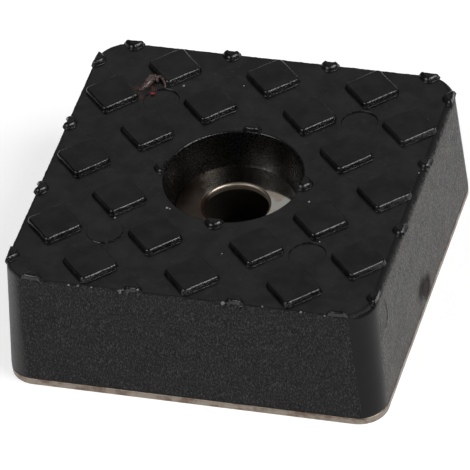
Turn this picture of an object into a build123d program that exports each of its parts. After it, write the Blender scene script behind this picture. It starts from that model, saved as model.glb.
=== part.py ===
from build123d import *
import math
import os

os.makedirs("parts", exist_ok=True)

# Block outline, in millimetres. The walls lean in towards the top.
base_side = 51.4
top_side = 50.0
base_corner = 3.8
top_corner = 4.5
block_height = 18.6

# Diamond studs of the grip face, in rows that are offset by half a stud pitch
row_step = 6.875
stud_diagonal = 7.55
stud_height = 0.75
stud_lean = 9
stud_root = 0.5
stud_corner = 0.3
stud_edge = 0.18
studs_across = 4

# Well for the screw head, with a leaning wall
well_rim_radius = 9.3
well_floor_radius = 8.2
well_depth = 5.0

# Sheet steel pressing under the rubber: a square flange and a raised, hollow boss.
# The seat for the screw head is the flat top of the boss, which bends down at its rim.
sheet = 1.0
screw_hole_radius = 4.5
hole_edge = 0.2
seat_radius = 8.1
boss_top_radius = 8.9
boss_top_drop = 0.9
boss_foot_radius = 12.6
bend_radius = 1.2
flange_edge = 0.15

# Round marks left by the mould's ejector pins, in the gaps between studs
pin_radius = 2.45
pin_offset = 2 * row_step
pin_step = 0.2

# Soft edges of the rubber: round the face and the well's rim, and at the foot
face_edge = 0.25
face_skin = 0.3
trim_gap = 0.03
foot_edge = 0.35

# Heights and sizes that follow from these
face_z = block_height - stud_height
seat_z = face_z - well_depth
well_lean = (well_rim_radius - well_floor_radius) / well_depth
boss_lean = (boss_foot_radius - boss_top_radius) / (seat_z - boss_top_drop - sheet)
hollow_foot_radius = boss_foot_radius - sheet * (math.hypot(1, boss_lean) - boss_lean)
hollow_top_radius = hollow_foot_radius - boss_lean * (seat_z - sheet)
flange_start_radius = boss_foot_radius + bend_radius
foot_side = base_side - 2 * foot_edge
stud_side = stud_diagonal / math.sqrt(2)
stud_foot_side = stud_side + 2 * (stud_height + stud_root) * math.tan(math.radians(stud_lean))
stud_pitch = 2 * row_step
overcut = 1.0

with BuildPart() as steel_insert:
    # The flange, with the slight softness that blanking leaves on its upper rim
    with BuildSketch():
        RectangleRounded(base_side, base_side, base_corner)
    extrude(amount=sheet)
    chamfer(steel_insert.edges().group_by(Axis.Z)[-1], flange_edge)
    with BuildSketch():
        Circle(flange_start_radius)
    extrude(amount=sheet, mode=Mode.SUBTRACT)

    # The boss: the bent sheet's section, turned about the screw's axis
    with BuildSketch(Plane.XZ):
        with BuildLine():
            Polyline(
                (screw_hole_radius, seat_z),
                (seat_radius, seat_z),
                (boss_top_radius, seat_z - boss_top_drop),
                (boss_foot_radius, sheet),
                (flange_start_radius, sheet),
                (flange_start_radius, 0),
            )
            FilletPolyline(
                (flange_start_radius, 0),
                (hollow_foot_radius, 0),
                (hollow_top_radius, seat_z - sheet),
                radius=bend_radius,
            )
            Polyline(
                (hollow_top_radius, seat_z - sheet),
                (screw_hole_radius, seat_z - sheet),
                (screw_hole_radius, seat_z),
            )
        make_face()
    revolve(axis=Axis.Z)

    # The hole was punched from above, which draws its upper edge in
    hole_edges = steel_insert.edges().filter_by(
        lambda edge: edge.geom_type == GeomType.CIRCLE and abs(edge.radius - screw_hole_radius) < 0.01
    )
    chamfer(hole_edges.sort_by(Axis.Z)[-1], hole_edge)

steel_insert.part.label = "steel_insert"
export_step(steel_insert.part, "parts/steel_insert.step")

# One stud: a low square stump with leaning flanks, a soft upper edge and soft corners
with BuildPart() as stud:
    with BuildSketch(Plane.XY.offset(face_z - stud_root)):
        Rectangle(stud_foot_side, stud_foot_side, rotation=45)
    extrude(amount=stud_height + stud_root, taper=stud_lean)
    chamfer(stud.edges().group_by(Axis.Z)[1], stud_corner)
    chamfer(stud.edges().group_by(Axis.Z)[-1], stud_edge)

# The upper form of the block: its face with soft edges, the full pattern of studs,
# which runs past the outline, and the one pin mark that stands proud
with BuildPart() as face_form:
    with BuildSketch(Plane.XY.offset(face_z - face_skin)):
        RectangleRounded(top_side + trim_gap, top_side + trim_gap, top_corner)
        Circle(well_rim_radius - trim_gap, mode=Mode.SUBTRACT)
    extrude(amount=face_skin)
    chamfer(face_form.edges().group_by(Axis.Z)[-1], face_edge)
    with GridLocations(stud_pitch, stud_pitch, studs_across + 1, studs_across):
        add(stud.part)
    with GridLocations(stud_pitch, stud_pitch, studs_across, studs_across + 1):
        add(stud.part)
    with BuildSketch(Plane.XY.offset(face_z)):
        with Locations((-pin_offset, -pin_offset)):
            Circle(pin_radius)
    extrude(amount=pin_step)

# What the mould leaves empty above that form
with BuildPart() as face_relief:
    with BuildSketch(Plane.XY.offset(face_z - face_skin)):
        Rectangle(base_side + stud_pitch, base_side + stud_pitch)
    extrude(amount=face_skin + stud_height + overcut)
    add(face_form.part, mode=Mode.SUBTRACT)

with BuildPart() as rubber_block:
    # Leaning walls on a rounded square, with a bevel at the foot
    with BuildSketch(Plane.XY.offset(sheet)):
        RectangleRounded(foot_side, foot_side, base_corner - foot_edge)
    with BuildSketch(Plane.XY.offset(sheet + foot_edge)):
        RectangleRounded(base_side, base_side, base_corner)
    with BuildSketch(Plane.XY.offset(block_height)):
        RectangleRounded(top_side, top_side, top_corner)
    loft(ruled=True)

    # The space between the studs, then the pin marks that are sunk
    add(face_relief.part, mode=Mode.SUBTRACT)
    with BuildSketch(Plane.XY.offset(face_z)):
        with Locations((-pin_offset, pin_offset), (pin_offset, pin_offset), (pin_offset, -pin_offset)):
            Circle(pin_radius)
    extrude(amount=-pin_step, mode=Mode.SUBTRACT)

    # The well narrows down to the steel seat. This cut ends inside the thickness of the
    # sheet all the way round the boss, and the steel then cuts the rubber to its surface.
    with BuildSketch(Plane.XZ):
        with BuildLine():
            Polyline(
                (0, 0),
                (hollow_foot_radius + sheet / 2, 0),
                (hollow_top_radius + sheet / 2, seat_z - sheet),
                (well_floor_radius - well_lean * sheet / 2, seat_z - sheet / 2),
                (well_rim_radius, face_z),
                (well_rim_radius, block_height + overcut),
                (0, block_height + overcut),
                close=True,
            )
        make_face()
    revolve(axis=Axis.Z, mode=Mode.SUBTRACT)
    add(steel_insert.part, mode=Mode.SUBTRACT)

rubber_block.part.label = "rubber_block"
export_step(rubber_block.part, "parts/rubber_block.step")
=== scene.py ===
import math
import random
from collections import namedtuple

import bmesh
import bpy
from mathutils import Matrix, Vector, noise
from mathutils.geometry import delaunay_2d_cdt


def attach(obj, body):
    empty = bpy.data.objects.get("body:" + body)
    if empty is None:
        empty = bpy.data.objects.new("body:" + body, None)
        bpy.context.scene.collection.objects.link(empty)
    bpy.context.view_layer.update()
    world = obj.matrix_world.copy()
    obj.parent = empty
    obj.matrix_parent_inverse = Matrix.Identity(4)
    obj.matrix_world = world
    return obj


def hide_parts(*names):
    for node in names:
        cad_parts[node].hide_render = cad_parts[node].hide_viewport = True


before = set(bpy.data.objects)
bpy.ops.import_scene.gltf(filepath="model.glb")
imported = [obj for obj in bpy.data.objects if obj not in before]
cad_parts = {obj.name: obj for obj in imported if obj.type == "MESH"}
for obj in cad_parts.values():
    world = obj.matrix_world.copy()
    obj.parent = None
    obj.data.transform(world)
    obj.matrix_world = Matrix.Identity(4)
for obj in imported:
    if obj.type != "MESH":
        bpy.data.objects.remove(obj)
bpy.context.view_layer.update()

MM = 0.001
MICRON = 0.000001

# Sizes in millimetres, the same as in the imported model
BASE_SIDE = 51.4
TOP_SIDE = 50.0
BASE_CORNER = 3.8
TOP_CORNER = 4.5
BLOCK_HEIGHT = 18.6
ROW_STEP = 6.875
STUD_DIAGONAL = 7.55
STUD_HEIGHT = 0.75
RIM_RADIUS = 9.3
WELL_DEPTH = 5.0
SHEET = 1.0
SEAT_RADIUS = 8.1
BOSS_TOP_RADIUS = 8.9
BOSS_TOP_DROP = 0.9
BOSS_FOOT_RADIUS = 12.6
BEND_RADIUS = 1.2
PIN_RADIUS = 2.45
PIN_STEP = 0.2
FOOT_BEVEL = 0.35

# Heights and radii that follow from these
FACE_Z = BLOCK_HEIGHT - STUD_HEIGHT
SEAT_Z = FACE_Z - WELL_DEPTH
PIN_OFFSET = 2 * ROW_STEP
FLANGE_START = BOSS_FOOT_RADIUS + BEND_RADIUS
BOSS_LEAN = (BOSS_FOOT_RADIUS - BOSS_TOP_RADIUS) / (SEAT_Z - BOSS_TOP_DROP - SHEET)
HOLLOW_FOOT_RADIUS = BOSS_FOOT_RADIUS - SHEET * (math.hypot(1, BOSS_LEAN) - BOSS_LEAN)
HOLLOW_TOP_RADIUS = HOLLOW_FOOT_RADIUS - BOSS_LEAN * (SEAT_Z - SHEET)

# Where the well's wall meets the steel
WELL_FOOT_RADIUS = 8.18

# Softness and unevenness of the rubber's edges, in millimetres
RIM_ROUND = 0.3
OUTER_ROUND = 0.95      # rounding of the upper edge over the right wall, where it is soft
CRISP_SHARE = 0.34      # the crisp rounding of the other walls, as a share of that
SOFT_FROM_X = 20.4      # where crisp begins to turn soft, on the way to the right
SOFT_RUN = 4.2
RAGGED_HEIGHT = 0.2
RAGGED_FEATURE = 0.5
FRONT_Y = -23           # in front of it, the parting edge is at its most ragged

# Whole studs, and the tips that are left where the outline or the well cuts a stud.
# A lean is the outward run of a flank for each millimetre of height. The studs of the
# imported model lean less.
STUD_LEAN = 0.27
STUD_CORNER = 0.55
STUD_ROUND = 0.27
TIP_LEAN = 0.5
TIP_CORNER = 0.5
TIP_ROUND = 0.33
TIP_GROWTH = 0.16       # how far a tip's flanks stand outside its footprint
TIP_SAG = 0.05
TIP_SHRINK = 0.45       # how fast a tip narrows below the face, to keep its root inside
STUD_ROOT = 0.06
STUD_SINK = 1.0         # how far the studs reach down into the block
STUD_FOOT_Z = FACE_Z - 0.015
HELD_LEAN = 0.04        # lean of a side that the outline or the well cuts
TOP_SPREAD = 0.04       # how much the heights of the studs vary
WHOLE_STUD_AREA = 25    # a larger footprint counts as a whole stud
SMALLEST_TIP_AREA = 0.5
FLUSH_GAP = 0.02        # how far cut studs stay inside the outline
WELL_GAP = 0.04         # how far they stay outside the rim of the well
POINT_SPACING = 0.28

# The edge of the screw hole, which the punch drew in, and the hole's narrowest radius
HOLE_ROLL = 0.36
HOLE_LIP_RADIUS = 4.4

# Fineness of the meshes
CORNER_STEPS = 10
SIDE_STEPS = 170
RIM_STEPS = 144
PIN_STEPS = 72
ROOT_STEPS = 5
STRAND_SIDES = 10
CRUMB_SIDES = 14
CRUMB_LEVELS = 9

# Least volume of the finished block, in cubic millimetres
LEAST_VOLUME = 37500

# Material numbers of the block's surfaces
FACE, WALL, WELL, STUD_TOP, CORNER = range(5)

# What tells those surfaces apart
OUTSIDE = 22            # beyond it in x or y, all that lies below the grip face is wall
DARK_CORNER_TURNS = (14, 84)   # degrees that a face of a darker corner turns from the y axis
DARK_CORNER_BELOW = FACE_Z - 0.3
TOP_FACING = 0.998      # least upward part of the normal on a stud's top


def smooth_noise(x, y, z, size):
    """Gentle noise between about -1 and 1, with features of the given size in millimetres."""
    return noise.noise(Vector((x / size, y / size, z / size)))


def square_ring(side, radius, z):
    """A rounded square, anticlockwise from above; every size has the same number of points."""
    reach = side / 2 - radius
    corners = []
    for quarter in range(4):
        start = quarter * math.pi / 2
        centre = Vector((reach, reach, z))
        centre.rotate(Matrix.Rotation(start, 3, "Z"))
        arc = []
        for step in range(CORNER_STEPS + 1):
            angle = start + step / CORNER_STEPS * math.pi / 2
            arc.append(centre + radius * Vector((math.cos(angle), math.sin(angle), 0)))
        corners.append(arc)
    ring = []
    for arc, following in zip(corners, corners[1:] + corners[:1]):
        ring.extend(arc)
        for step in range(1, SIDE_STEPS):
            ring.append(arc[-1].lerp(following[0], step / SIDE_STEPS))
    return ring


def circle_ring(radius, z, steps=RIM_STEPS, centre=(0, 0)):
    """A circle at height z, anticlockwise from above."""
    return [
        Vector((centre[0] + radius * math.cos(angle), centre[1] + radius * math.sin(angle), z))
        for angle in (2 * math.pi * step / steps for step in range(steps))
    ]


class Shell:
    """Collects rings of points and the faces between them."""

    def __init__(self):
        self.points = []
        self.faces = []

    def ring(self, points):
        """Adds points and returns their numbers."""
        first = len(self.points)
        self.points.extend(points)
        return list(range(first, first + len(points)))

    def skin(self, rings):
        """Joins rings of equal length, each to the next."""
        for low, high in zip(rings, rings[1:]):
            count = len(low)
            for i in range(count):
                j = (i + 1) % count
                self.faces.append((low[i], low[j], high[j], high[i]))

    def cap(self, ring, turned=False):
        """Closes a ring with a fan round its middle."""
        middle = sum((self.points[number] for number in ring), Vector()) / len(ring)
        centre = self.ring([middle])[0]
        for here, following in zip(ring, ring[1:] + ring[:1]):
            triangle = (here, following, centre)
            self.faces.append(triangle[::-1] if turned else triangle)

    def fill(self, outline, holes=(), turned=False):
        """Closes a flat region inside a convex outline and round its convex holes."""
        loops = [outline, *holes]
        numbers = [number for loop in loops for number in loop]
        owner = [k for k, loop in enumerate(loops) for _ in loop]
        ties, first = [], 0
        for loop in loops:
            ties += [(first + i, first + (i + 1) % len(loop)) for i in range(len(loop))]
            first += len(loop)
        flat = [self.points[number].to_2d() for number in numbers]
        result = delaunay_2d_cdt(flat, ties, [], 1, 1e-7)
        for corners in result[2]:
            sources = [result[3][corner][0] for corner in corners]
            if owner[sources[0]] > 0 and len({owner[source] for source in sources}) == 1:
                continue
            triangle = tuple(numbers[source] for source in sources)
            self.faces.append(triangle[::-1] if turned else triangle)

    def close(self, rings):
        """Skins rings and caps both ends."""
        self.skin(rings)
        self.cap(rings[-1])
        self.cap(rings[0], turned=True)

    def piece(self, name):
        """Makes an object of the collected faces, all facing outwards."""
        mesh = bpy.data.meshes.new(name)
        mesh.from_pydata([tuple(p * MM) for p in self.points], [], self.faces)
        work = bmesh.new()
        work.from_mesh(mesh)
        bmesh.ops.recalc_face_normals(work, faces=work.faces)
        work.to_mesh(mesh)
        work.free()
        made = bpy.data.objects.new(name, mesh)
        bpy.context.scene.collection.objects.link(made)
        return made


def rounding(radius, steps):
    """Inset and drop of a quarter-round edge, from the side up to the top."""
    return [
        (radius * (1 - math.cos(angle)), radius * (1 - math.sin(angle)))
        for angle in (step / steps * math.pi / 2 for step in range(steps + 1))
    ]


def bend(corner, before, after, radius, steps=8):
    """Points of a round bend at a corner between two neighbours."""
    corner, before, after = Vector(corner), Vector(before), Vector(after)
    incoming, outgoing = (before - corner).normalized(), (after - corner).normalized()
    half = incoming.angle(outgoing) / 2
    start = corner + incoming * radius / math.tan(half)
    end = corner + outgoing * radius / math.tan(half)
    centre = corner + (incoming + outgoing).normalized() * radius / math.sin(half)
    first, last = start - centre, end - centre
    whole = first.angle(last)
    return [
        centre + (first * math.sin(whole * (1 - t)) + last * math.sin(whole * t)) / math.sin(whole)
        for t in (step / steps for step in range(steps + 1))
    ]


def wall_at(z):
    """Side and corner radius of the rubber's outline at height z."""
    share = (z - SHEET - FOOT_BEVEL) / (BLOCK_HEIGHT - SHEET - FOOT_BEVEL)
    return (
        BASE_SIDE + (TOP_SIDE - BASE_SIDE) * share,
        BASE_CORNER + (TOP_CORNER - BASE_CORNER) * share,
    )


def boss_top_at(radius):
    """Height of the steel's upper surface where it bends down under the rim of the well."""
    return SEAT_Z - BOSS_TOP_DROP * max(0, radius - SEAT_RADIUS) / (BOSS_TOP_RADIUS - SEAT_RADIUS)


def base_ring(inset, z):
    """The outline of the foot, moved inwards."""
    return square_ring(BASE_SIDE - 2 * inset, BASE_CORNER - inset, z)


def edge_ring(inset, drop):
    """The outline of the rubber at a level of its rounded upper edge."""
    z = FACE_Z - drop
    side, radius = wall_at(z)
    return square_ring(side - 2 * inset, radius - inset, z)


def crispness(point):
    """0 at the right wall, where the upper edge is soft, and 1 away from it."""
    share = min(1, max(0, (point.x - SOFT_FROM_X) / SOFT_RUN))
    return 1 - share * share * (3 - 2 * share)


def ragged(ring, share):
    """Small tears and lumps along the mould's parting edge, strongest at the front."""
    strength = RAGGED_HEIGHT * math.sin(math.pi * min(1, max(0, share)))
    moved = []
    for point in ring:
        front = 1.0 if point.y < FRONT_Y else 0.35
        swell = smooth_noise(point.x, point.y + 40, point.z, RAGGED_FEATURE)
        lump = max(-0.25, swell) * strength * front
        level = Vector((point.x, point.y, 0)).normalized()
        moved.append(point + level * lump * 0.6 + Vector((0, 0, lump)))
    return moved


def outer_rings(shell):
    """Rings of the outer wall, from the foot up over the rounded upper edge."""
    rings = [shell.ring(base_ring(FOOT_BEVEL, SHEET))]
    for inset, drop in rounding(FOOT_BEVEL, 4)[::-1]:
        if drop > 0:
            rings.append(shell.ring(base_ring(inset, SHEET + drop)))
    for z in (4.5, 8, 11.5, 15):
        rings.append(shell.ring(square_ring(*wall_at(z), z)))
    for inset, drop in rounding(OUTER_ROUND, 8):
        pairs = zip(edge_ring(inset, drop), edge_ring(CRISP_SHARE * inset, CRISP_SHARE * drop))
        ring = [soft.lerp(crisp, crispness(soft)) for soft, crisp in pairs]
        rings.append(shell.ring(ragged(ring, drop / OUTER_ROUND)))
    return rings


def well_rings(shell):
    """Rings of the well's wall, from its rim down, and on under the rubber along the boss."""
    rings = []
    for inset, drop in rounding(RIM_ROUND, 5)[::-1]:
        rings.append(shell.ring(circle_ring(RIM_RADIUS + inset, FACE_Z - drop)))
    low_z = boss_top_at(WELL_FOOT_RADIUS)
    for share in (0.25, 0.5, 0.75, 1):
        radius = RIM_RADIUS + (WELL_FOOT_RADIUS - RIM_RADIUS) * share
        z = FACE_Z - RIM_ROUND + (low_z - FACE_Z + RIM_ROUND) * share
        rings.append(shell.ring(circle_ring(radius, z)))
    rings.append(shell.ring(circle_ring(BOSS_TOP_RADIUS, boss_top_at(BOSS_TOP_RADIUS))))
    rings.append(shell.ring(circle_ring(BOSS_FOOT_RADIUS, SHEET)))
    return rings


def pin_mark(shell, x, y, step):
    """Adds the mark of an ejector pin, raised or sunk by a step, and returns its outer ring.
    The raised one is tilted, so that one side of it runs out into the face."""
    mark = []
    for grow, share in ((0.05, 0), (0, 0.35), (-0.04, 1), (-0.14, 1)):
        ring = circle_ring(PIN_RADIUS + grow, FACE_Z, PIN_STEPS, (x, y))
        for point in ring:
            away = (point - Vector((x, y, FACE_Z))) / PIN_RADIUS
            tilt = 0.5 + 0.35 * (away.x - away.y) if step > 0 else 1
            point += away * 0.05 * smooth_noise(point.x, point.y, 7, 0.8)
            point.z += share * step * tilt
        mark.append(shell.ring(ring))
    shell.skin(mark)
    shell.cap(mark[-1])
    return mark[0]


def block_body():
    """The rubber without its studs."""
    shell = Shell()
    outer = outer_rings(shell)
    shell.skin(outer)
    well = well_rings(shell)
    shell.skin(well)
    shell.fill(outer[0], [well[-1]], turned=True)
    pins = [
        pin_mark(shell, x, y, step)
        for x, y, step in (
            (-PIN_OFFSET, -PIN_OFFSET, PIN_STEP),
            (-PIN_OFFSET, PIN_OFFSET, -PIN_STEP),
            (PIN_OFFSET, PIN_OFFSET, -PIN_STEP),
            (PIN_OFFSET, -PIN_OFFSET, -PIN_STEP),
        )
    ]
    shell.fill(outer[-1], [well[0], *pins])
    return shell.piece("rubber_body")


def clipped(polygon, normal, reach):
    """The part of a polygon where the distance along normal is at most reach."""
    kept = []
    for here, following in zip(polygon, polygon[1:] + polygon[:1]):
        a, b = here.dot(normal) - reach, following.dot(normal) - reach
        if a <= 0:
            kept.append(here)
        if (a < 0 < b) or (b < 0 < a):
            kept.append(here.lerp(following, a / (a - b)))
    return kept


def stud_outline(x, y):
    """Footprint of a stud's top: a diamond, cut by the block's outline and by the well."""
    half = STUD_DIAGONAL / 2
    polygon = [
        Vector((x + half, y)), Vector((x, y + half)), Vector((x - half, y)), Vector((x, y - half)),
    ]
    side, radius = wall_at(BLOCK_HEIGHT)
    side, radius = side - 2 * FLUSH_GAP, radius - FLUSH_GAP
    outline = [p.to_2d() for p in square_ring(side, radius, 0)]
    for here, following in zip(outline, outline[1:] + outline[:1]):
        edge = following - here
        if edge.length > 1e-6:
            normal = Vector((edge.y, -edge.x)).normalized()
            polygon = clipped(polygon, normal, here.dot(normal))
            if len(polygon) < 3:
                return []
    centre = Vector((x, y))
    if centre.length - half < RIM_RADIUS:
        normal = -centre.normalized()
        polygon = clipped(polygon, normal, -(RIM_RADIUS + WELL_GAP))
    return polygon


def area_of(polygon):
    """Area of an anticlockwise polygon."""
    return sum(a.cross(b) for a, b in zip(polygon, polygon[1:] + polygon[:1])) / 2


def softened(polygon, radius):
    """The polygon with round corners and with evenly spaced points along its sides."""
    clean = []
    for point in polygon:
        if not clean or (point - clean[-1]).length > 0.02:
            clean.append(point)
    if (clean[0] - clean[-1]).length < 0.02:
        clean.pop()
    count = len(clean)
    line = []
    for i, corner in enumerate(clean):
        before, after = clean[i - 1], clean[(i + 1) % count]
        turn = (corner - before).angle_signed(after - corner)
        if abs(turn) < math.radians(20):
            line.append(corner)
            continue
        limit = 0.45 * min((corner - before).length, (after - corner).length)
        fit = min(radius, limit / math.tan(abs(turn) / 2))
        line.extend(bend(corner, before, after, fit, 5))
    spaced = []
    for here, following in zip(line, line[1:] + line[:1]):
        pieces = max(1, round((following - here).length / POINT_SPACING))
        spaced.extend(here.lerp(following, k / pieces) for k in range(pieces))
    return spaced


def outward(line):
    """Unit vectors that point out of an anticlockwise polygon at each of its points."""
    found = []
    for i, point in enumerate(line):
        following = (line[(i + 1) % len(line)] - point).normalized()
        along = following + (point - line[i - 1]).normalized()
        found.append(Vector((along.y, -along.x)).normalized())
    return found


def is_held(point):
    """Whether a stud's side is cut here by the block's outline or by the well."""
    side, radius = wall_at(BLOCK_HEIGHT)
    reach = side / 2 - radius
    dx, dy = max(abs(point.x) - reach, 0), max(abs(point.y) - reach, 0)
    at_wall = radius - math.hypot(dx, dy) < 0.05 and max(dx, dy) > 0
    return at_wall or point.length < RIM_RADIUS + 0.12


def stud_levels(top, round_by):
    """Outward reach and height of a stud's rings, from its sunk root to its rounded top."""
    levels = [(STUD_ROOT, FACE_Z - STUD_SINK)]
    for step in range(ROOT_STEPS + 1):
        angle = step / ROOT_STEPS * math.pi / 2
        reach = STUD_ROOT * (1 - math.sin(angle))
        levels.append((reach, STUD_FOOT_Z + STUD_ROOT * (1 - math.cos(angle))))
    return levels + [(-inset, top - drop) for inset, drop in rounding(round_by, 6)]


def add_stud(shell, x, y, chance):
    """Adds one stud with leaning flanks, round edges and small moulding faults. What is left
    of a cut stud becomes a low mound."""
    polygon = stud_outline(x, y)
    if len(polygon) < 3 or area_of(polygon) < SMALLEST_TIP_AREA:
        return
    whole = area_of(polygon) > WHOLE_STUD_AREA
    if whole:
        corner, edge, lean, growth, sag = STUD_CORNER, STUD_ROUND, STUD_LEAN, 0, 0
    else:
        corner, edge, lean, growth, sag = TIP_CORNER, TIP_ROUND, TIP_LEAN, TIP_GROWTH, TIP_SAG
    line = softened(polygon, corner)
    normals = outward(line)
    held_sides = [is_held(point) for point in line]
    seed = chance.uniform(0, 90)
    top = BLOCK_HEIGHT - chance.uniform(0, TOP_SPREAD) - sag
    round_by = edge * chance.uniform(0.88, 1.12)
    rings = []
    for reach, z in stud_levels(top, round_by):
        ring = []
        for point, normal, held in zip(line, normals, held_sides):
            high = top - max(z, STUD_FOOT_Z)
            wobble = 0.05 * smooth_noise(point.x, point.y + seed, 3, 2.6)
            if whole:
                wobble += 0.14 * high * smooth_noise(point.x + seed, point.y, z * 1.5, 0.55)
            if held:
                move = HELD_LEAN * high + min(reach, 0)
            else:
                move = reach + lean * high + wobble + growth
            if not whole:
                move -= TIP_SHRINK * max(0, STUD_FOOT_Z - z)
            ring.append((point + normal * move).to_3d() + Vector((0, 0, z)))
        rings.append(shell.ring(ring))
    shell.close(rings)


def stud_places():
    """Centres of the two offset sets of studs, as rows and columns of half a pitch."""
    steps = range(-4, 5)
    return [
        (column * ROW_STEP, row * ROW_STEP)
        for row in steps
        for column in steps
        if (row + column) % 2
    ]


def joined(base, other):
    """The exact union of two closed meshes, kept in base."""
    step = base.modifiers.new("join", "BOOLEAN")
    step.operation = "UNION"
    step.solver = "EXACT"
    step.object = other
    evaluated = base.evaluated_get(bpy.context.evaluated_depsgraph_get())
    solid = bpy.data.meshes.new_from_object(evaluated)
    base.modifiers.clear()
    base.data = solid
    bpy.data.objects.remove(other)
    return base


def demand_volume(thing, least):
    """Stops the script if the exact union has lost part of the solid."""
    whole = bmesh.new()
    whole.from_mesh(thing.data)
    volume = whole.calc_volume() / MM ** 3
    whole.free()
    assert volume > least, f"{thing.name} has only {volume:.0f} cubic mm"


def set_normals(thing, limit):
    """Smooth shading that keeps level faces level: every corner takes the face normals that
    lie within the limit of its own face, and a level face there decides alone."""
    mesh = thing.data
    mesh.shade_smooth()
    near = math.cos(math.radians(limit))
    facing = []
    around = [[] for _ in mesh.vertices]
    for face in mesh.polygons:
        heights = [mesh.vertices[number].co.z for number in face.vertices]
        level = max(heights) - min(heights) < 0.5 * MICRON
        normal = Vector((0, 0, math.copysign(1, face.normal.z))) if level else face.normal.copy()
        facing.append((normal, level, face.area ** 0.5))
        for number in face.vertices:
            around[number].append(face.index)
    normals = []
    for face in mesh.polygons:
        own = facing[face.index][0]
        for number in face.vertices:
            total, decided = Vector(), False
            for other in around[number]:
                normal, level, weight = facing[other]
                if normal.dot(own) > near:
                    if level:
                        total, decided = normal, True
                        break
                    total += normal * weight
            normals.append(tuple(total if decided else total.normalized()))
    mesh.normals_split_custom_set(normals)


def rubber_block():
    """The moulded block: its body with all studs joined on."""
    body = block_body()
    studs = Shell()
    chance = random.Random(7)
    for x, y in stud_places():
        add_stud(studs, x, y, chance)
    block = joined(body, studs.piece("studs"))
    block.name = "moulded_block"
    demand_volume(block, LEAST_VOLUME)
    set_normals(block, 42)
    return block


def steel_pressing():
    """The square flange with its blanked edge, and the boss with the punched screw hole."""
    shell = Shell()
    blanked_edge = (
        (0.22, 0), (0.06, 0.02), (0.03, 0.1), (0.07, 0.3), (0.05, 0.42), (0, 0.5), (0, 0.8),
    )
    flange = [shell.ring(base_ring(inset, z)) for inset, z in blanked_edge]
    for inset, drop in rounding(0.2, 4)[1:]:
        flange.append(shell.ring(base_ring(inset, SHEET - drop)))
    shell.skin(flange)

    # Up the hollow, in to the hole, over its rolled edge, and out and down the boss
    under_z = SEAT_Z - SHEET
    profile = bend(
        (HOLLOW_FOOT_RADIUS, 0), (FLANGE_START, 0), (HOLLOW_TOP_RADIUS, under_z), BEND_RADIUS
    )
    profile += [
        (HOLLOW_TOP_RADIUS, under_z), (HOLE_LIP_RADIUS + 0.08, under_z),
        (HOLE_LIP_RADIUS, under_z + 0.2),
    ]
    profile += [(HOLE_LIP_RADIUS + inset, SEAT_Z - drop) for inset, drop in rounding(HOLE_ROLL, 7)]
    profile += [
        (SEAT_RADIUS + 0.3 - inset, SEAT_Z - 0.7 * drop) for inset, drop in rounding(0.5, 4)[::-1]
    ]
    profile += [(BOSS_TOP_RADIUS, boss_top_at(BOSS_TOP_RADIUS)), (BOSS_FOOT_RADIUS, SHEET)]
    boss = [shell.ring(circle_ring(radius, z)) for radius, z in profile]
    shell.skin(boss)
    shell.fill(flange[0], [boss[0]], turned=True)
    shell.fill(flange[-1], [boss[-1]])
    pressing = shell.piece("pressed_insert")
    set_normals(pressing, 35)
    return pressing


# Where a point of a surface lies, in millimetres, and its normal's x and z
Place = namedtuple("Place", "x y z reach nx nz")


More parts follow.
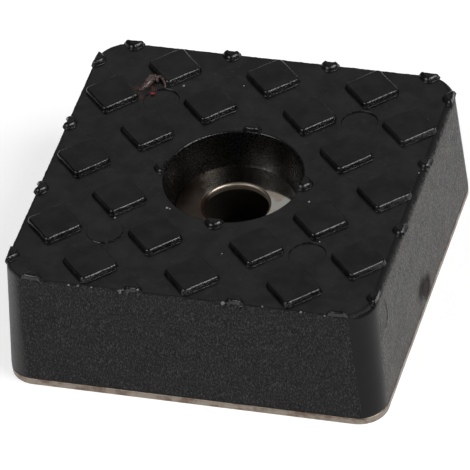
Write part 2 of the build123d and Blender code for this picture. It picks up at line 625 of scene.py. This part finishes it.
class Paint:
    """A node material, built one node at a time. Positions and feature sizes are in
    millimetres, and surface heights in metres."""

    def __init__(self, name):
        self.material = bpy.data.materials.new(name)
        self.material.use_nodes = True
        self.tree = self.material.node_tree
        self.shader = self.tree.nodes["Principled BSDF"]
        self.out = self.tree.nodes["Material Output"]

    def node(self, kind, inputs=None, **settings):
        """Adds a node, with values or links for its inputs."""
        made = self.tree.nodes.new("ShaderNode" + kind)
        for key, value in settings.items():
            setattr(made, key, value)
        for key, value in (inputs or {}).items():
            self.feed(made.inputs[key], value)
        return made

    def feed(self, socket, value):
        """Sets a socket to a number, a colour or another node's output."""
        if isinstance(value, bpy.types.NodeSocket):
            self.tree.links.new(value, socket)
        else:
            socket.default_value = value

    def math(self, operation, *values):
        made = self.node("Math", operation=operation)
        for socket, value in zip(made.inputs, values):
            self.feed(socket, value)
        return made.outputs[0]

    def times(self, a, b):
        return self.math("MULTIPLY", a, b)

    def plus(self, base, share, amount):
        """The base with an amount added to it, by a share."""
        return self.math("MULTIPLY_ADD", share, amount, base)

    def ramp(self, value, low, high, to_low, to_high):
        """A smooth step: to_low where the value is at most low, and to_high from high on."""
        made = self.node("MapRange", interpolation_type="SMOOTHSTEP")
        for socket, number in zip(made.inputs, (value, low, high, to_low, to_high)):
            self.feed(socket, number)
        return made.outputs[0]

    def rise(self, value, low, high):
        return self.ramp(value, low, high, 0.0, 1.0)

    def fall(self, value, low, high):
        return self.ramp(value, low, high, 1.0, 0.0)

    def noise(self, sizes, detail=2.0, roughness=0.5, offset=0.0):
        """Noise with features of one size, or of a size along each axis."""
        if not isinstance(sizes, tuple):
            sizes = (sizes,) * 3
        spot = self.node("TexCoord").outputs["Object"]
        scale = tuple(1 / (size * MM) for size in sizes)
        where = self.node("Mapping", {"Vector": spot, "Scale": scale}).outputs[0]
        if offset:
            shift = {0: where, 1: (offset,) * 3}
            where = self.node("VectorMath", shift, operation="ADD").outputs[0]
        inputs = {"Vector": where, "Scale": 1.0, "Detail": detail, "Roughness": roughness}
        return self.node("TexNoise", inputs).outputs["Fac"]

    def mix(self, share, a, b):
        """Colour a where the share is 0, and colour b where it is 1."""
        made = self.node("Mix", {0: share}, data_type="RGBA")
        for key, colour in ((6, a), (7, b)):
            self.feed(made.inputs[key], (*colour, 1) if isinstance(colour, tuple) else colour)
        return made.outputs[2]

    def between(self, share, a, b):
        """Value a where the share is 0, and value b where it is 1."""
        return self.node("Mix", {0: share, 2: a, 3: b}).outputs[0]

    def blotch(self, centre, radius, soft):
        """1 near a point, fading to 0 beyond the radius."""
        spot = self.node("TexCoord").outputs["Object"]
        middle = tuple(c * MM for c in centre)
        far = self.node("VectorMath", {0: spot, 1: middle}, operation="DISTANCE").outputs["Value"]
        return self.fall(far, radius * MM, (radius + soft) * MM)

    def place(self):
        """Where the surface point lies; reach is its distance from the screw's axis."""
        spot = self.node("TexCoord").outputs["Object"]
        larger = self.node("VectorMath", {0: spot, "Scale": 1 / MM}, operation="SCALE").outputs[0]
        x, y, z = self.node("SeparateXYZ", {0: larger}).outputs
        normal = self.node("NewGeometry").outputs["Normal"]
        facing = self.node("SeparateXYZ", {0: normal}).outputs
        squares = self.math("ADD", self.math("POWER", x, 2), self.math("POWER", y, 2))
        return Place(x, y, z, self.math("SQRT", squares), facing[0], facing[2])

    def finished(self, height, colour, rough):
        """Joins surface height, colour and roughness to the shader."""
        bump = self.node("Bump", {"Strength": 1.0, "Distance": 1.0, "Height": height})
        self.feed(self.shader.inputs["Normal"], bump.outputs[0])
        self.feed(self.shader.inputs["Base Color"], colour)
        self.feed(self.shader.inputs["Roughness"], rough)
        return self.material


def rubber(name, deep, light, specular, roughness, grit):
    """Black rubber between two tones, with fine grit and gentle waves in its surface:
    a paint with its height, colour and roughness, for more to be added."""
    paint = Paint(name)
    height = paint.times(paint.noise(0.13, 2.0, 0.6), grit)
    height = paint.plus(height, paint.noise(3.2), 30 * MICRON)
    tone = paint.rise(paint.noise(2.8, 5.0, 0.62), 0.32, 0.68)
    colour = paint.mix(tone, deep, light)
    rough = paint.ramp(paint.noise(2.5, 3.0), 0.3, 0.7, roughness - 0.03, roughness + 0.03)
    paint.shader.inputs["Specular IOR Level"].default_value = specular
    return paint, height, colour, rough


def face_paint():
    """The satin grip face and its studs, with grit on the flanks that face right, a brown
    tint near the gate, and dust."""
    paint, height, colour, rough = rubber(
        "rubber_face", deep=(0.0016, 0.0017, 0.0018), light=(0.0084, 0.0086, 0.0086),
        specular=0.45, roughness=0.22, grit=6 * MICRON,
    )
    at = paint.place()
    flank = paint.fall(paint.math("ABSOLUTE", at.nz), 0.5, 0.9)
    flank = paint.times(flank, paint.rise(at.nx, 0.1, 0.5))
    grit = paint.rise(paint.noise(0.28, 2.0, 0.6, 5.1), 0.5, 0.68)
    height = paint.plus(height, paint.times(grit, flank), 70 * MICRON)
    patches = paint.rise(paint.noise(1.1, 3.0, 0.6, 2.0), 0.45, 0.6)
    tint = paint.times(paint.blotch((-16.6, 15.4, 18), 1.0, 1.6), patches)
    colour = paint.mix(paint.times(tint, 0.7), colour, (0.06, 0.022, 0.014))
    dust = paint.rise(paint.noise((0.7, 0.45, 0.5), 4.0, 0.7, 8.0), 0.6, 0.72)
    colour = paint.mix(paint.times(dust, 0.45), colour, (0.04, 0.04, 0.04))
    return paint.finished(height, colour, rough)


def stud_top_paint():
    """The flat tops of the studs, which came off the mould a little duller than the face."""
    paint, *surface = rubber(
        "rubber_top", deep=(0.0014, 0.0015, 0.0016), light=(0.0076, 0.0078, 0.0078),
        specular=0.38, roughness=0.25, grit=6 * MICRON,
    )
    return paint.finished(*surface)


def corner_paint():
    """The darker corners of the outer walls, without the grain."""
    # Darker than the rubber of the walls, with only the fine grit
    paint, *surface = rubber(
        "rubber_corner", deep=(0.0012, 0.0012, 0.0013), light=(0.0022, 0.0022, 0.0023),
        specular=0.2, roughness=0.32, grit=10 * MICRON,
    )
    return paint.finished(*surface)


def wall_paint():
    """The outer walls: upright flecks at the front and back, pebbles at the two sides, a painted
    highlight on the corner at the front left, and soil near the foot."""
    paint, height, colour, rough = rubber(
        "rubber_wall", deep=(0.0026, 0.0027, 0.0028), light=(0.0042, 0.0043, 0.0044),
        specular=0.25, roughness=0.7, grit=10 * MICRON,
    )
    at = paint.place()
    side = paint.rise(paint.math("ABSOLUTE", at.nx), 0.3, 0.8)
    upright_until = paint.ramp(side, 0.0, 1.0, 0.7, 0.2)
    outer = paint.fall(paint.math("ABSOLUTE", at.nz), upright_until, 0.95)

    streaks = paint.noise((0.13, 0.13, 0.34), 2.5, 0.6)
    pebbles = paint.noise((0.34, 0.34, 0.38), 3.5, 0.65, 11.3)
    grain = paint.between(side, streaks, pebbles)
    height = paint.plus(height, paint.times(paint.rise(grain, 0.40, 0.64), outer), 110 * MICRON)
    at_ends = paint.mix(
        paint.rise(grain, 0.47, 0.66), (0.006, 0.0062, 0.0063), (0.066, 0.067, 0.067)
    )
    at_sides = paint.mix(
        paint.rise(grain, 0.4, 0.62), (0.006, 0.0055, 0.005), (0.092, 0.086, 0.079)
    )
    grey = paint.mix(side, at_ends, at_sides)
    # A lighter grey on the front left corner: a painted highlight
    painted_corner_highlight = paint.times(paint.fall(at.x, -23.6, -22.2), paint.fall(at.y, -21.2, -19.6))
    grey = paint.mix(paint.times(painted_corner_highlight, 0.7), grey, (0.11, 0.111, 0.111))
    colour = paint.mix(outer, colour, grey)

    soil = paint.times(paint.fall(at.z, 1.0, 9.0), side)
    soil = paint.times(soil, paint.ramp(paint.noise((1.6, 2.5, 2.5), 4.0), 0.35, 0.75, 0.0, 0.7))
    colour = paint.mix(soil, colour, (0.05, 0.032, 0.022))
    lower = paint.blotch((25.6, -0.4, 2.9), 0.6, 1.9)
    upper = paint.blotch((25.5, -2.6, 4.2), 0.3, 2.2)
    smudge = paint.math("MAXIMUM", lower, upper)
    smudge = paint.times(smudge, paint.ramp(paint.noise(0.8, 3.0), 0.3, 0.6, 0.65, 1.0))
    colour = paint.mix(smudge, colour, (0.01, 0.006, 0.004))
    rough = paint.plus(rough, side, -0.27)
    rough = paint.plus(rough, smudge, 0.5)
    return paint.finished(height, colour, rough)


def well_paint():
    """The wall of the well: painted nearly black, darker than the rubber of the face as painted
    shade in the recess, with a fine sparkle where it mirrors a light.
    """
    paint = Paint("rubber_well")
    paint.shader.inputs["Specular IOR Level"].default_value = 0.52
    grains = paint.rise(paint.noise(0.22, 2.0, 0.7), 0.42, 0.62)
    height = paint.times(grains, 8 * MICRON)
    # Painted shade: this rubber is far darker than the same rubber on the face
    colour = paint.mix(grains, (0.0003, 0.0003, 0.0003), (0.0008, 0.0008, 0.0007))
    return paint.finished(height, colour, paint.ramp(grains, 0.0, 1.0, 0.21, 0.34))


def steel_paint():
    """Rolled sheet steel: bright on the seat, and dull and brownish on the cut edges. The seat is
    dark brown on one side and has a painted reflection of the dark well wall at its far side. The
    edge of the screw hole has painted light on one side and painted shade on the other."""
    paint = Paint("rolled_steel")
    paint.shader.inputs["Metallic"].default_value = 1.0
    at = paint.place()
    cut = paint.fall(paint.math("ABSOLUTE", at.nz), 0.5, 0.85)
    rim = paint.times(paint.rise(at.reach, 20.0, 22.0), paint.rise(at.z, 0.3, 0.6))
    cut = paint.math("MAXIMUM", cut, rim)
    hole_edge = paint.fall(at.reach, HOLE_LIP_RADIUS + 0.26, HOLE_LIP_RADIUS + HOLE_ROLL)
    rolled = paint.noise((0.5, 9.0, 9.0), 4.0, 0.6)
    shear = paint.noise((0.12, 0.12, 1.4), 3.0, 0.6)
    height = paint.times(paint.math("SUBTRACT", rolled, 0.5), 1.5 * MICRON)
    height = paint.plus(height, paint.times(shear, cut), 40 * MICRON)

    brown = paint.rise(paint.noise(2.2, 4.0, 0.6), 0.42, 0.62)
    bright = paint.mix(brown, (0.84, 0.81, 0.755), (0.67, 0.59, 0.50))
    dull = paint.mix(brown, (0.27, 0.23, 0.19), (0.16, 0.115, 0.09))
    dulled = paint.times(cut, paint.math("SUBTRACT", 1.0, hole_edge))
    colour = paint.mix(dulled, bright, dull)

    # The dark brown side, the painted reflection at the far side and the painted light and shade
    # of the hole's edge follow two level directions that are turned 18.8 degrees, as the view is
    across = paint.plus(paint.times(at.y, 0.322), at.x, 0.947)
    along = paint.plus(paint.times(at.y, 0.947), at.x, -0.322)
    # Darker at the far side of the seat: a painted reflection of the dark well wall
    painted_dark_reflection = paint.times(paint.rise(along, 2.2, 4.8), paint.fall(across, 3.0, 5.0))
    colour = paint.mix(paint.times(painted_dark_reflection, 0.8), colour, (0.19, 0.16, 0.13))
    # Painted light and shade on the edge of the screw hole: beige on the right and far side,
    # nearly black on the left and near side
    clean = paint.rise(paint.plus(across, along, 0.55), -3.0, -0.5)
    punched = paint.mix(clean, (0.022, 0.012, 0.008), (0.37, 0.315, 0.25))
    colour = paint.mix(hole_edge, colour, punched)
    # Dark brown and rougher on the left side of the seat and its ring
    uneven = paint.math("SUBTRACT", paint.noise(1.4, 3.0), 0.5)
    dark_brown_side = paint.fall(paint.plus(across, uneven, 2.0), -4.5, -2.8)
    ring = paint.math("MAXIMUM", paint.fall(at.reach, 7.6, 7.9), paint.rise(at.y, -5.5, -3.5))
    dark_brown_area = paint.times(paint.times(dark_brown_side, ring), paint.rise(at.z, 11.5, 12.2))
    colour = paint.mix(paint.times(dark_brown_area, 0.93), colour, (0.045, 0.024, 0.016))

    rough = paint.ramp(paint.noise((0.8, 6, 6), 3.0), 0.3, 0.7, 0.05, 0.09)
    for duller, amount in ((cut, 0.25), (hole_edge, 0.25), (dark_brown_area, 0.2)):
        rough = paint.plus(rough, duller, amount)
    return paint.finished(height, colour, rough)


def mark_paint(name, deep, light, roughness):
    """A mark's colour between two tones, mottled at a fine scale."""
    paint = Paint(name)
    tone = paint.rise(paint.noise(0.3, 3.0, 0.6), 0.35, 0.65)
    height = paint.times(paint.noise(0.2), 40 * MICRON)
    rough = paint.ramp(tone, 0, 1, roughness, roughness + 0.1)
    return paint.finished(height, paint.mix(tone, deep, light), rough)


def curve_through(path, steps=6):
    """More points along a path, on a smooth curve through the given ones."""
    points = [Vector(point) for point in path]
    points = [2 * points[0] - points[1], *points, 2 * points[-1] - points[-2]]
    found = []
    for a, b, c, d in zip(points, points[1:], points[2:], points[3:]):
        slope, second, third = c - a, 2 * a - 5 * b + 4 * c - d, 3 * b - a - 3 * c + d
        for step in range(steps):
            t = step / steps
            found.append(0.5 * (2 * b + slope * t + second * t ** 2 + third * t ** 3))
    return [*found, points[-2]]


def add_strand(shell, path, middle, ends):
    """Adds a thin, slightly uneven strand along a path, thickest in the middle."""
    points = curve_through(path)
    last = len(points) - 1
    rings = []
    for i, centre in enumerate(points):
        radius = ends + (middle - ends) * math.sin(math.pi * i / last)
        along = (points[min(i + 1, last)] - points[max(i - 1, 0)]).normalized()
        side = along.orthogonal().normalized()
        other = along.cross(side)
        ring = []
        for step in range(STRAND_SIDES):
            angle = step / STRAND_SIDES * 2 * math.pi
            spot = side * math.cos(angle) + other * math.sin(angle)
            uneven = 1 + 0.25 * smooth_noise(centre.x + spot.x, centre.y + spot.y, spot.z, 0.7)
            place = centre + spot * radius * uneven
            place.z = min(place.z, BLOCK_HEIGHT - 0.02)
            ring.append(place)
        rings.append(shell.ring(ring))
    shell.close(rings)


def add_crumb(shell, centre, size, flat=0.5, stretch=(1, 1)):
    """Adds a small irregular lump, flattened and stretched along the axes."""
    centre = Vector(centre)
    rings = []
    for level in range(1, CRUMB_LEVELS):
        angle = level / CRUMB_LEVELS * math.pi
        wide = math.sin(angle)
        ring = []
        for step in range(CRUMB_SIDES):
            turn = step / CRUMB_SIDES * 2 * math.pi
            spot = Vector((wide * math.cos(turn), wide * math.sin(turn), -math.cos(angle)))
            swell = smooth_noise(centre.x * 3 + spot.x, centre.y * 3 + spot.y, spot.z, 0.8)
            shape = Vector((spot.x * stretch[0], spot.y * stretch[1], spot.z * flat))
            ring.append(centre + size * (1 + 0.5 * swell) * shape)
        rings.append(shell.ring(ring))
    shell.close(rings)


def mark_piece(shell, name):
    """One piece of all the marks in a shell."""
    made = shell.piece(name)
    set_normals(made, 60)
    return made


def gate_scar():
    """The torn end of the rubber where it was fed into the mould, bent over to a hook."""
    shell = Shell()
    torn = (
        (-17.3, 15.2, 17.8), (-16.6, 16.2, 18.0), (-16.2, 17.3, 18.25), (-15.8, 17.9, 18.2),
        (-15.2, 17.3, 18.0),
    )
    hook = ((-15.7, 17.9, 18.2), (-15.0, 18.0, 18.3), (-14.3, 17.3, 18.15), (-13.9, 16.4, 17.85))
    add_strand(shell, torn, 0.55, 0.15)
    add_strand(shell, hook, 0.24, 0.1)
    add_crumb(shell, (-16.9, 16.4, 17.9), 0.45)
    return mark_piece(shell, "gate_scar")


def parting_flash():
    """A thin curl of flash on the right wall, and flecks along the front parting edge."""
    shell = Shell()
    curl = (
        (25.02, -18.4, 17.0), (25.12, -17.95, 15.4), (25.2, -17.7, 13.6), (25.24, -17.6, 12.7),
        (25.26, -18.3, 11.7), (25.26, -19.6, 11.6), (25.16, -21.5, 12.2),
    )
    add_strand(shell, curl, 0.13, 0.04)
    for x, y, z, size in (
        (-8.5, -25.0, 17.75, 0.3), (-8.0, -24.85, 17.85, 0.22), (-7.6, -24.9, 17.95, 0.18),
        (5.4, -24.98, 17.8, 0.28), (5.9, -24.9, 17.9, 0.2), (6.3, -24.85, 18.0, 0.15),
        (-15.5, -25.0, 17.75, 0.14), (-14.2, -25.0, 17.8, 0.18), (-12.4, -24.95, 17.8, 0.12),
        (10.6, -24.8, 17.85, 0.14), (15.8, -24.92, 17.8, 0.16), (19.0, -24.9, 17.7, 0.18),
        (20.4, -24.6, 17.85, 0.2),
    ):
        add_crumb(shell, (x, y, z), size, 0.8)
    return mark_piece(shell, "parting_flash")


def dust_crumbs():
    """Crumbs of dust that lie on the grip face."""
    shell = Shell()
    for x, y, size in (
        (-11.54, 17.18, 0.16), (11.27, -3.4, 0.14), (24.1, 4.9, 0.12), (2.7, -15.6, 0.13),
        (-13.16, -11.0, 0.12), (-3.53, 18.57, 0.1), (-6.9, -7.85, 0.16), (-6.5, -8.0, 0.12),
        (14.7, -11.0, 0.1),
    ):
        add_crumb(shell, (x, y, FACE_Z + 0.03), size)
    return mark_piece(shell, "dust_crumbs")


def red_fleck():
    """A fleck of red paint beside the gate."""
    shell = Shell()
    add_crumb(shell, (-15.26, 14.96, FACE_Z + 0.02), 0.3, 0.3)
    return mark_piece(shell, "red_fleck")


def soil_smear():
    """Soil caked in a thin layer on the right wall."""
    shell = Shell()
    add_crumb(shell, (25.56, -1.0, 3.1), 1.0, 1.25, (0.11, 1.7))
    add_crumb(shell, (25.52, -3.0, 4.3), 0.6, 1.2, (0.12, 1.6))
    return mark_piece(shell, "soil_smear")


# Each mark with the name, two tones and roughness of its material
MARKS = (
    (gate_scar, "gate_rubber", (0.02, 0.012, 0.011), (0.12, 0.08, 0.075), 0.25),
    (parting_flash, "flash_rubber", (0.06, 0.06, 0.058), (0.24, 0.235, 0.225), 0.5),
    (dust_crumbs, "dust", (0.10, 0.10, 0.10), (0.30, 0.30, 0.29), 0.8),
    (red_fleck, "red_paint", (0.10, 0.008, 0.012), (0.22, 0.016, 0.025), 0.5),
    (soil_smear, "soil", (0.006, 0.0035, 0.0025), (0.016, 0.010, 0.007), 0.9),
)


def dress(thing, materials):
    """Gives a piece its materials and fixes it to the part."""
    thing.data.materials.clear()
    for material in materials:
        thing.data.materials.append(material)
    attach(thing, "root")


def surface_of(face):
    """Which of the block's surfaces a mesh face belongs to. Three of the four corners take the
    darker corner material; the front left one has the grain of the walls."""
    spot = face.center / MM
    if spot.to_2d().length < RIM_RADIUS + 0.05 and spot.z < FACE_Z - 0.05:
        return WELL
    if spot.z < FACE_Z - 0.0005 and max(abs(spot.x), abs(spot.y)) > OUTSIDE:
        turn = math.degrees(math.atan2(abs(face.normal.x), abs(face.normal.y)))
        rounds_corner = DARK_CORNER_TURNS[0] < turn < DARK_CORNER_TURNS[1]
        front_left = spot.x < 0 and spot.y < 0
        darker_corner = rounds_corner and not front_left and spot.z < DARK_CORNER_BELOW
        return CORNER if darker_corner else WALL
    if spot.z > BLOCK_HEIGHT - 0.15 and face.normal.z > TOP_FACING:
        return STUD_TOP
    return FACE


block = rubber_block()
block_paints = (face_paint, wall_paint, well_paint, stud_top_paint, corner_paint)
dress(block, [paint_of() for paint_of in block_paints])   # in the numbers' order
for mesh_face in block.data.polygons:
    mesh_face.material_index = surface_of(mesh_face)
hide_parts("rubber_block")

for make, paint_name, deep_tone, light_tone, mark_roughness in MARKS:
    dress(make(), [mark_paint(paint_name, deep_tone, light_tone, mark_roughness)])

insert = steel_pressing()
dress(insert, [steel_paint()])
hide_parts("steel_insert")


# The photograph's view, solved from the corners of the studs: angles in degrees, lengths in
# metres, and the lens in millimetres
VIEW_AZIMUTH = 18.8205
VIEW_ELEVATION = 40.0689
VIEW_ROLL = 5.6677
VIEW_DISTANCE = 0.854375
VIEW_TARGET = Vector((0.000106, -0.001968, 0.0093))
VIEW_LENS = 492.7


def direction_of(azimuth, elevation):
    """Unit vector towards a place round the block; azimuth 0 is in front, 90 on the right."""
    a, e = math.radians(azimuth), math.radians(elevation)
    return Vector((math.sin(a) * math.cos(e), -math.cos(a) * math.cos(e), math.sin(e)))


def facing_back(direction):
    """The rotation with which a camera or lamp in that direction looks back."""
    return (-direction).to_track_quat("-Z", "Y")


def photo_camera():
    """The camera at the photograph's angle."""
    lens = bpy.data.cameras.new("camera")
    lens.lens = VIEW_LENS
    lens.sensor_width = 36
    camera = bpy.data.objects.new("camera", lens)
    bpy.context.scene.collection.objects.link(camera)
    direction = direction_of(VIEW_AZIMUTH, VIEW_ELEVATION)
    roll = Matrix.Rotation(-math.radians(VIEW_ROLL), 3, "Z").to_quaternion()
    camera.rotation_mode = "QUATERNION"
    camera.location = VIEW_TARGET + direction * VIEW_DISTANCE
    camera.rotation_quaternion = facing_back(direction) @ roll
    bpy.context.scene.camera = camera


def soft_light(name, azimuth, elevation, distance, size, power):
    """A rectangular softbox that faces the block."""
    lamp = bpy.data.lights.new(name, "AREA")
    lamp.shape = "RECTANGLE"
    lamp.size, lamp.size_y = size
    lamp.energy = power
    box = bpy.data.objects.new(name, lamp)
    bpy.context.scene.collection.objects.link(box)
    direction = direction_of(azimuth, elevation)
    box.location = direction * distance
    box.rotation_mode = "QUATERNION"
    box.rotation_quaternion = facing_back(direction)


def studio_floor():
    """A plain pale floor that reads as white to the camera and in gloss, and still takes the
    shadow. Its glow ends under the block, where no studio light falls on a real floor."""
    half = 6.0
    corners = [(-half, -half, 0), (half, -half, 0), (half, half, 0), (-half, half, 0)]
    mesh = bpy.data.meshes.new("floor")
    mesh.from_pydata(corners, [], [(0, 1, 2, 3)])
    plane = bpy.data.objects.new("floor", mesh)
    plane.location.z = -0.02 * MM
    bpy.context.scene.collection.objects.link(plane)

    paint = Paint("floor_paper")
    paint.shader.inputs["Base Color"].default_value = (0.5, 0.5, 0.5, 1)
    paint.shader.inputs["Roughness"].default_value = 0.9
    paint.shader.inputs["Specular IOR Level"].default_value = 0.0
    outside = paint.rise(paint.place().reach, 14.0, 16.0)
    rays = paint.node("LightPath").outputs
    seen = paint.math("MAXIMUM", rays["Is Camera Ray"], rays["Is Glossy Ray"])
    seen = paint.math("MAXIMUM", seen, rays["Is Transmission Ray"])
    glow = paint.node("Emission", {"Strength": paint.times(paint.times(seen, outside), 0.66)})
    both = paint.node("AddShader", {0: paint.shader.outputs[0], 1: glow.outputs[0]})
    paint.feed(paint.out.inputs["Surface"], both.outputs[0])
    mesh.materials.append(paint.material)


def studio_air():
    """Surroundings that are dark grey near the horizon and dimmer above."""
    world = bpy.data.worlds.new("studio")
    bpy.context.scene.world = world
    world.use_nodes = True
    nodes, links = world.node_tree.nodes, world.node_tree.links
    where = nodes.new("ShaderNodeTexCoord")
    split = nodes.new("ShaderNodeSeparateXYZ")
    ramp = nodes.new("ShaderNodeValToRGB")
    for stop, position, level in zip(ramp.color_ramp.elements, (0.08, 0.3), (0.12, 0.06)):
        stop.position = position
        stop.color = (level, level, level, 1)
    links.new(where.outputs["Generated"], split.inputs[0])
    links.new(split.outputs["Z"], ramp.inputs[0])
    links.new(ramp.outputs[0], nodes["Background"].inputs["Color"])


photo_camera()
bpy.context.scene.view_settings.view_transform = "Standard"
soft_light("right_softbox", 78, 48, 0.9, (0.62, 0.46), 6.8)
soft_light("left_softbox", -37, 36, 0.9, (0.55, 0.5), 3.4)
soft_light("back_softbox", 192, 42, 1.1, (0.95, 0.9), 0.62)
studio_floor()
studio_air()
